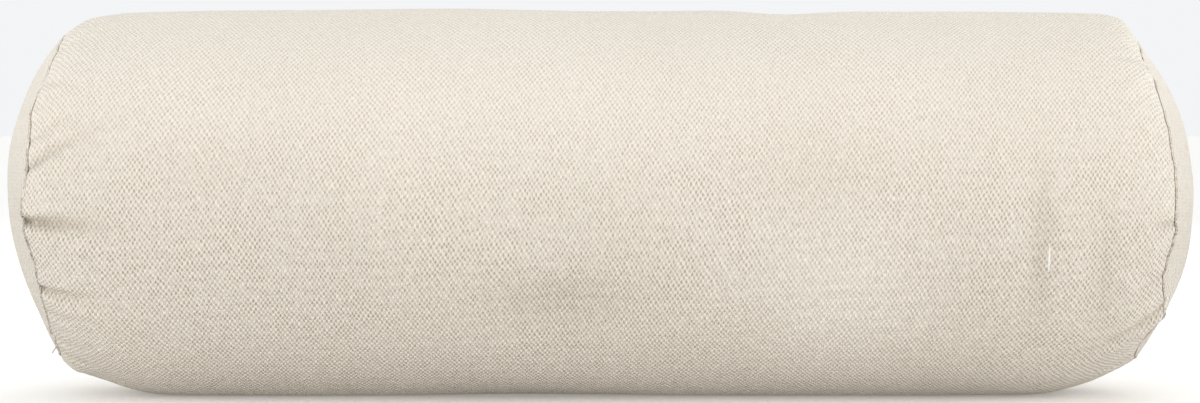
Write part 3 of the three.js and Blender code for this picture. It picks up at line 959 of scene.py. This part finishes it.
def build_body_panel(material):
    """One sheet rolled into the barrel, its four edges folded in."""
    x = panel_rows()[:, None]
    start = slot_edge(x) + HEM_ROLL
    around = TAU * RADIUS
    angle = ZIP_ANGLE + (start + panel_columns()[None, :] * (around - 2 * start)) / RADIUS
    near_zip = np.abs(apart(angle, ZIP_ANGLE)) * RADIUS
    zipped = np.clip((SLOT_END + 4 * MM - np.abs(x)) / (4 * MM), 0, 1)
    stitch_dip = STITCH_DIP * np.exp(-(((near_zip - STITCH_SIDE) / STITCH_DIP_WIDTH) ** 2)) * zipped
    sheet = round_points(x, cover_radius(x, angle) - stitch_dip, angle)

    # long edges: a half-round fold, then the allowance lying back inside
    surface = np.sqrt(barrel_radius(x, ZIP_ANGLE) ** 2 - start ** 2)
    across = start - HEM_ROLL * np.sin(HEM_FOLD)[None, :]
    out = surface - HEM_ROLL * (1 - np.cos(HEM_FOLD))[None, :]
    across = np.concatenate([across, start + 2 * MM, start + 5 * MM], axis=1)
    out = np.concatenate([out, out[:, -1:] - 0.05 * MM, out[:, -1:] - 0.25 * MM], axis=1)
    for side in (1, -1):
        hem = zip_points(x, out, side * across)
        sheet = np.concatenate([hem[:, ::-1], sheet] if side > 0 else [sheet, hem], axis=1)

    for end in (-1, 1):
        stretch_to_seam(sheet, end)
        roll = seam_lip(sheet[-1] if end > 0 else sheet[0], end, -end)
        sheet = np.concatenate([sheet, roll] if end > 0 else [roll[::-1], sheet])

    rows, columns, _ = sheet.shape
    panel = add_object("cover_body", settle(sheet), grid_faces(rows, columns), material)
    x, angle = sheet[..., 0], polar(sheet)[0]
    # and per-vertex amounts of painted light in the pale patches
    # per-vertex amounts of painted shade in the folds
    for name, values in (("painted_fold_shade", folded(x, angle)), ("painted_light", soft_spots(PAINTED_LIGHT_SPOTS, x, angle))):
        attribute = panel.data.attributes.new(name, "FLOAT", "POINT")
        attribute.data.foreach_set("value", values.reshape(-1))
    thicken(panel, CLOTH)
    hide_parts("cover_body_panel")
    return panel


def polar(points):
    """Angle and radius of points about the axis."""
    angle = np.arctan2(points[..., 2] - AXIS_Z, points[..., 1])
    radius = np.hypot(points[..., 1], points[..., 2] - AXIS_Z)
    return angle, radius


STRETCH_REACH = 55 * MM


def stretch_to_seam(sheet, end):
    """Shifts the rows near an end along X, so that the sheet follows the wandering seam."""
    angle, _ = polar(sheet)
    nearness = np.clip((sheet[..., 0] * end - (SEAM_X - STRETCH_REACH)) / STRETCH_REACH, 0, 1)
    sheet[..., 0] += seam_shift(end, angle) * ease(nearness)


LIP_PROFILE = ((0.45, 0.1), (0.25, 0.28), (0.1, 0.62), (0.02, 1.1), (0.0, 1.8))  # share of the way, drop
ALLOWANCE = 4.5 * MM  # of the turned-in edge, inside the seam


def seam_lip(edge, end, towards_cloth):
    """Rows that carry a panel's edge over its lip and down into the seam."""
    angle, radius = polar(edge)
    openness = seam_openness(end, angle)
    gap = SEAM_HALF_GAP * openness
    seam = end * SEAM_X + seam_shift(end, angle)
    reach = np.maximum(np.abs(seam - edge[..., 0]) - gap, 0.1 * MM)
    base = ring_radius(end, angle) + gathering(end * SEAM_X, angle)
    round_off = (0.12 + 0.58 * openness) * MM
    rows = []
    for share, drop in LIP_PROFILE:
        level = base + (radius - base) * share - round_off * drop
        rows.append(round_points(seam + towards_cloth * (gap + reach * share), level, angle))
    rows.append(round_points(seam + towards_cloth * gap, base - ALLOWANCE, angle))
    return np.stack(rows)


CROWN_RISE = {-1: 12.5 * MM, 1: 5 * MM}  # how high above the axis each dome's crown sits
CROWN_SINK = {-1: 3.4 * MM, 1: 2.2 * MM}  # how far each crown stays inside the full length


def dome_points(end, ratio, angle, depth, end_depth):
    """The domed end: ratio 1 is the seam, 0 the crown."""
    flat = 1 - ratio ** 2
    loose = 0.5 * MM * np.sin(3 * angle + 2 * end) + 0.35 * MM * np.sin(5 * angle - end)
    pull = np.exp(-(((1 - ratio) / 0.08) ** 2))
    radius = (RING_RADIUS[end] - depth) * ratio + gathering(end * SEAM_X, angle) * pull
    bulge = (DOME - CROWN_SINK[end]) * flat + loose * np.sin(math.pi * ratio)
    x = end * (SEAM_X - end_depth + bulge) + seam_shift(end, angle) * ratio ** 4
    points = round_points(x, radius, angle)
    points[..., 2] += RING_RISE[end] + (CROWN_RISE[end] - RING_RISE[end]) * flat
    return points


END_COLUMNS = 360
BESIDE_SEAM = np.array([1.6, 2.6, 4.0, 5.8]) * MM  # rows of the end panel closest to its seam
CROWN_HOLE = 0.012  # ratio of the last row, which one small face closes


def turns(columns):
    """A row of angles, once round."""
    return np.arange(columns)[None, :] * TAU / columns


def build_end_panel(end, material):
    side = "right" if end > 0 else "left"
    ratio = np.concatenate([1 - BESIDE_SEAM / SEAM_RADIUS, np.linspace(0.91, CROWN_HOLE, 40)])
    sheet = dome_points(end, ratio[:, None], turns(END_COLUMNS), 0, 0)
    sheet = settle(np.concatenate([seam_lip(sheet[0], end, end)[::-1], sheet]))
    faces = closed_faces(len(sheet), END_COLUMNS, flip=end < 0, open_start=True)
    panel = add_object(f"cover_{side}_end", sheet, faces, material)
    thicken(panel, CLOTH)
    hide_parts(f"cover_{side}_end_panel")
    return panel


STITCH_BOW = 0.12 * MM  # a stitch's middle stands out this much


def seam_stitches(name, end, sunk, pitch, half_length, thread, material, extra=(), end_depth=0.0):
    """Short threads that cross an end seam."""
    count = round(TAU * SEAM_RADIUS / pitch)
    slant = 0.25 * pitch / SEAM_RADIUS
    paths = []
    for share in (-1, -0.5, 0, 0.5, 1):
        angle = np.arange(count) * TAU / count + slant * share
        radius = ring_radius(end, angle) - sunk + STITCH_BOW * (1 - share ** 2)
        x = end * (SEAM_X - end_depth) + seam_shift(end, angle) + share * half_length
        paths.append(round_points(x, radius, angle))
    vertices, faces = merge([tubes(np.stack(paths, axis=1), thread), *extra])
    return add_object(name, settle(vertices), faces, material)


def loose_tail():
    """The end of the sewing thread that sticks out low on the left seam."""
    angle = at_front(-63)
    outwards = np.array([0, math.cos(angle), math.sin(angle)])
    axis_point = np.array([-SEAM_X + seam_shift(-1, angle), 0, AXIS_Z])
    start = axis_point + outwards * (ring_radius(-1, angle) - 2 * MM)
    steps = np.linspace(0, 1, 9)[:, None]
    out = outwards * 4.4 * MM + np.array([-3.4 * MM, 0, -0.4 * MM])
    curl = np.sin(math.pi * steps) * np.array([[0.2 * MM, -0.3 * MM, 0.9 * MM]])
    return tubes((start + steps * out + curl)[None], 0.36 * MM)


def line_stitches(name, start, stop, pitch, length, across, lift, thread, material, crossing=False):
    """A row of stitches along X: lying on the cloth, or crossing a seam."""
    count = max(1, round((stop - start) / pitch))
    x = start + (np.arange(count) + 0.5) * (stop - start) / count
    paths = []
    for share in (-1, -0.6, 0, 0.6, 1):
        bow = lift - 0.45 * MM * share ** 4
        if crossing:
            place, sideways = x + 0.15 * pitch * share, across + share * length / 2
        else:
            place, sideways = x + share * length / 2, across + 0 * x
        out = np.sqrt(barrel_radius(place, ZIP_ANGLE) ** 2 - sideways ** 2) + bow
        paths.append(zip_points(place, out, sideways))
    return add_object(name, *tubes(np.stack(paths, axis=1), thread), material)


# ------------------------------------------------------------------ zip

TAPE_INNER, TAPE_OUTER = 0.9 * MM, 14 * MM  # edges of a tape, from the middle of the zip
RIB_PITCH = 0.75 * MM
RIB_HEIGHT = 0.05 * MM


def build_tape(side, sign, material):
    """A ribbed ribbon under the folded edge."""
    across = np.linspace(TAPE_INNER, TAPE_OUTER, 36)[None, :]
    ribbed = TAPE_TOP - RIB_HEIGHT * (1 - np.cos(across / RIB_PITCH * TAU))
    x = np.linspace(-TAPE_END, TAPE_END, 150)[:, None]
    top = zip_points(x, ribbed, sign * across)
    under = zip_points(x, TAPE_TOP - TAPE_THICKNESS, sign * across[:, ::-1])
    loop = np.concatenate([top, under], axis=1)
    faces = closed_faces(*loop.shape[:2], flip=sign > 0)
    tape = add_object(f"zip_{side}_ribbon", loop, faces, material)
    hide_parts(f"zip_{side}_tape")


def build_coil(side, sign, material):
    """The nylon monofilament, wound into flattened loops along the tape's edge."""
    loops = math.floor(2 * COIL_END / COIL_PITCH)
    per_loop = 10
    phase = np.arange(loops * per_loop + 1) * TAU / per_loop
    x = (phase / TAU / loops - 0.5) * (2 * COIL_END - 1.0 * MM)
    inner, outer = COIL_MESH + COIL_WIRE, COIL_CENTRE + COIL_WIDTH / 2 - COIL_WIRE
    half_width = (outer - inner) / 2
    half_height = COIL_HEIGHT / 2 - COIL_WIRE
    phase = phase + (math.pi if sign < 0 else 0)
    across = (inner + outer) / 2 + half_width * np.sign(np.cos(phase)) * np.abs(np.cos(phase)) ** 0.7
    out = COIL_BASE + COIL_HEIGHT / 2 + half_height * np.sin(phase)
    wire = tubes(zip_points(x, out, sign * across)[None], COIL_WIRE)
    coil = add_object(f"zip_{side}_teeth", *wire, material)
    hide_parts(f"zip_{side}_coil")


SHARP = math.radians(40)  # edges that turn more than this are broken


def bevelled_copy(node, name, width, material, body):
    """A metal piece with its edges broken, from the frame's own shape."""
    source = frame["nodes"][node]
    mesh = source.data.copy()
    mesh.materials.clear()
    mesh.materials.append(material)
    shape = bmesh.new()
    shape.from_mesh(mesh)
    bmesh.ops.remove_doubles(shape, verts=shape.verts, dist=0.01 * MM)
    bmesh.ops.dissolve_limit(shape, angle_limit=math.radians(2), verts=shape.verts, edges=shape.edges)
    sharp = [e for e in shape.edges if len(e.link_faces) == 2 and e.calc_face_angle() > SHARP]
    bmesh.ops.bevel(
        shape, geom=sharp, offset=width, segments=3, profile=0.5, affect="EDGES", clamp_overlap=True,
    )
    shape.to_mesh(mesh)
    shape.free()
    mesh.shade_smooth()
    piece = new_object(name, mesh)
    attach(piece, body)
    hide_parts(node)
    return piece


def build_zip(materials):
    metal = materials["metal"]
    for side, sign in (("upper", 1), ("lower", -1)):
        build_tape(side, sign, materials["tape"])
        build_coil(side, sign, materials["coil"])
        stitching = line_stitches(
            f"zip_{side}_topstitch", -SLOT_END - 1 * MM, SLOT_END + 1 * MM, pitch=3.1 * MM,
            length=2.4 * MM, across=sign * STITCH_SIDE, lift=0.1 * MM, thread=0.3 * MM,
            material=materials["thread"],
        )
        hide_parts(f"zip_{side}_stitching")
        bevelled_copy(f"zip_{side}_top_stop", f"zip_{side}_top_clip", 0.35 * MM, metal, "bolster")
    bevelled_copy("zip_bottom_stop", "zip_bottom_clip", 0.35 * MM, metal, "bolster")
    bevelled_copy("zip_slider", "zip_slider_body", 0.22 * MM, metal, "slider")
    bevelled_copy("zip_puller", "zip_pull_tab", 0.3 * MM, metal, "puller")


def build_long_seam(material):
    for side, sign in (("left", -1), ("right", 1)):
        ends = sorted([sign * (SLOT_END + 8 * MM), sign * (SEAM_X - 4 * MM)])
        stitches = line_stitches(
            f"long_seam_{side}", *ends, pitch=2.2 * MM, length=1.7 * MM, across=0.0, lift=-0.9 * MM,
            thread=0.26 * MM, material=material, crossing=True,
        )
        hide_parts(f"body_seam_thread_{side}")


# ------------------------------------------------------------------ insert

def behind_zip(points, limit):
    """Keeps the insert's layers flat where the zip lies on them."""
    out, _ = in_zip_frame(points)
    soft = 0.6 * MM
    over = out - limit
    kept = limit - 0.5 * (-over + np.sqrt(over ** 2 + soft ** 2))
    back = np.maximum(out - kept, 0)
    points[..., 1] -= back * math.cos(ZIP_ANGLE)
    points[..., 2] -= back * math.sin(ZIP_ANGLE)
    return points


def inside_cover(x, angle, depth):
    """Points this deep inside the cover, whose length is squeezed to the insert's."""
    squeeze = SEAM_X / (SEAM_X - INSERT_END_DEPTH)
    return round_points(x, cover_radius(x * squeeze, angle) - depth, angle)


def layer_tube(depth, end_x, rows, columns, flat_depth):
    """Points of a tube that follows the cover this deep inside it."""
    x = np.linspace(-end_x, end_x, rows)[:, None]
    points = inside_cover(x, turns(columns), depth)
    return behind_zip(settle(points, depth), INSERT_FLAT - flat_depth)


def closed_tube(name, outer, inner, material):
    """A tube with a wall: outside, one end, inside, other end."""
    rows, columns, _ = outer.shape
    faces = grid_faces(2 * rows, columns, wrap=True)
    last = (2 * rows - 1) * columns
    for column in range(columns):
        after = (column + 1) % columns
        faces.append([last + column, last + after, after, column])
    return add_object(name, np.concatenate([outer, inner[::-1]]), faces, material)


def build_insert(materials):
    edge = SEAM_X - INSERT_END_DEPTH - TICKING
    outer = layer_tube(INSERT_DEPTH, edge, 150, 220, 0)
    inner = layer_tube(INSERT_DEPTH + TICKING, edge, 150, 220, TICKING)
    ticking = closed_tube("insert_ticking_body", outer, inner, materials["ticking"])
    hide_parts("insert_body_ticking")

    rows, columns = 110, 200
    wrap_outer = layer_tube(INSERT_DEPTH + BATTING_SKIN, CORE_END, rows, columns, BATTING_SKIN)
    x = np.linspace(-CORE_END, CORE_END, rows)[:, None]
    wrap_inner = round_points(x, CORE_RADIUS + 0.5 * MM, turns(columns))
    wrap = closed_tube("batting_roll", wrap_outer, wrap_inner, materials["batting"])
    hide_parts("batting_wrap")

    for side, end in (("left", -1), ("right", 1)):
        build_insert_end(side, end, materials)
    build_core(materials["foam"])
    closing = line_stitches(
        "insert_closing_seam", -SHOULDER_X, SHOULDER_X, pitch=3.4 * MM, length=2.6 * MM, across=0, lift=0,
        thread=0.28 * MM, material=materials["pale_thread"],
    )
    lie_on_insert(closing)
    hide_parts("insert_closing_seam_thread")


def lie_on_insert(stitches):
    """Moves a row of stitches onto the flat behind the zip."""
    mesh = stitches.data
    points = np.empty(len(mesh.vertices) * 3)
    mesh.vertices.foreach_get("co", points)
    points = points.reshape(-1, 3)
    out, across = in_zip_frame(points)
    on_surface = INSERT_FLAT + (out - barrel_radius(points[:, 0], ZIP_ANGLE)) + 0.25 * MM
    moved = zip_points(points[:, 0], on_surface, across + 10 * MM)
    mesh.vertices.foreach_set("co", moved.reshape(-1))
    mesh.update()


def build_insert_end(side, end, materials):
    angle = turns(180)
    ratio = np.concatenate([[0.992, 0.97], np.linspace(0.94, CROWN_HOLE, 34)])[:, None]

    def cap(depth, end_depth):
        points = dome_points(end, ratio, angle, depth, end_depth)
        return behind_zip(settle(points, depth), INSERT_FLAT)

    shell_outer = cap(INSERT_DEPTH, INSERT_END_DEPTH)
    shell_inner = cap(INSERT_DEPTH + TICKING, INSERT_END_DEPTH + TICKING)
    shell = shell_from(f"insert_ticking_{side}", shell_outer, shell_inner, end, materials["ticking"])
    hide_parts(f"insert_{side}_end_ticking")

    depth = INSERT_DEPTH + BATTING_SKIN
    start, stop = CORE_END + 0.6 * MM, SEAM_X - INSERT_END_DEPTH - 1.5 * MM
    rim = inside_cover(end * np.linspace(start, stop, 10)[:, None], angle, depth)
    dome = dome_points(end, ratio[1:], angle, depth, INSERT_END_DEPTH + BATTING_SKIN)
    flat_ratio = np.array([0.02, 0.3, 0.6, 0.9, 0.985])[:, None]
    flat = round_points(end * start, flat_ratio * polar(rim[:1])[1], angle)
    loft = behind_zip(settle(np.concatenate([flat, rim, dome]), depth), INSERT_FLAT - BATTING_SKIN)
    faces = closed_faces(*loft.shape[:2], flip=end < 0)
    pad = add_object(f"batting_{side}_pad", loft, faces, materials["batting"])
    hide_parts(f"{side}_end_pad")

    stitches = seam_stitches(
        f"insert_{side}_seam_stitches", end, sunk=INSERT_DEPTH + THREAD_SINK, pitch=3.0 * MM,
        half_length=1.0 * MM, thread=0.28 * MM, material=materials["pale_thread"],
        end_depth=INSERT_END_DEPTH,
    )
    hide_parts(f"insert_{side}_seam_thread")


def shell_from(name, outer, inner, end, material):
    """A closed shell from two caps, joined at the seam and closed at the crown."""
    loop = np.concatenate([outer[::-1], inner])
    return add_object(name, loop, closed_faces(*loop.shape[:2], flip=end > 0), material)


def build_core(material):
    """The foam cylinder, its cut rims a little rounded."""
    angle = turns(160)
    near_rim = np.array([0.2, 0.6, 1.2, 2.0]) * MM
    x = np.concatenate([np.linspace(-CORE_END, CORE_END, 90), CORE_END - near_rim, near_rim - CORE_END])
    x = np.sort(x)[:, None]
    inward = np.clip(CORE_RIM - (CORE_END - np.abs(x)), 0, None)
    drop = CORE_RIM - np.sqrt(CORE_RIM ** 2 - inward ** 2)
    uneven = CORE_UNEVENNESS * (np.sin(7 * angle + 40 * x) - 1)
    side = round_points(x, CORE_RADIUS - drop + uneven, angle)
    core = add_object("foam_cylinder", side, closed_faces(*side.shape[:2], flip=True), material)
    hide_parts("foam_core")


# ------------------------------------------------------------------ assembly

make_camera()
make_studio()

THREAD_COLOUR = (0.60, 0.54, 0.45)
materials = {
    "thread": spun_thread("cover_thread", THREAD_COLOUR),
    "pale_thread": spun_thread("insert_thread", (0.82, 0.8, 0.76)),
    "ticking": plain_weave("insert_ticking", (0.86, 0.84, 0.8), 0.9 * MM, dark=0.8),
    "batting": fluffy("insert_batting", (0.9, 0.89, 0.87)),
    "foam": foam("insert_foam", (0.85, 0.77, 0.5)),
    "tape": plain_weave("zip_tape_cloth", (0.74, 0.68, 0.58), 0.8 * MM, dark=0.7),
    "coil": nylon("zip_nylon", (0.78, 0.73, 0.64)),
    "metal": nickel("zip_metal"),
}
barrel_cloth = woven_cloth("cover_cloth", on_barrel=True)
end_cloth = woven_cloth("cover_end_cloth", on_barrel=False)

build_body_panel(barrel_cloth)
for end_side, end_sign in (("left", -1), ("right", 1)):
    build_end_panel(end_sign, end_cloth)
    tail = [loose_tail()] if end_sign < 0 else []
    ring = seam_stitches(
        f"{end_side}_seam_stitches", end_sign, sunk=1.7 * MM, pitch=1.8 * MM, half_length=0.9 * MM,
        thread=0.26 * MM, material=materials["thread"], extra=tail,
    )
    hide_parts(f"cover_{end_side}_seam_thread")
build_zip(materials)
build_long_seam(materials["thread"])
build_insert(materials)
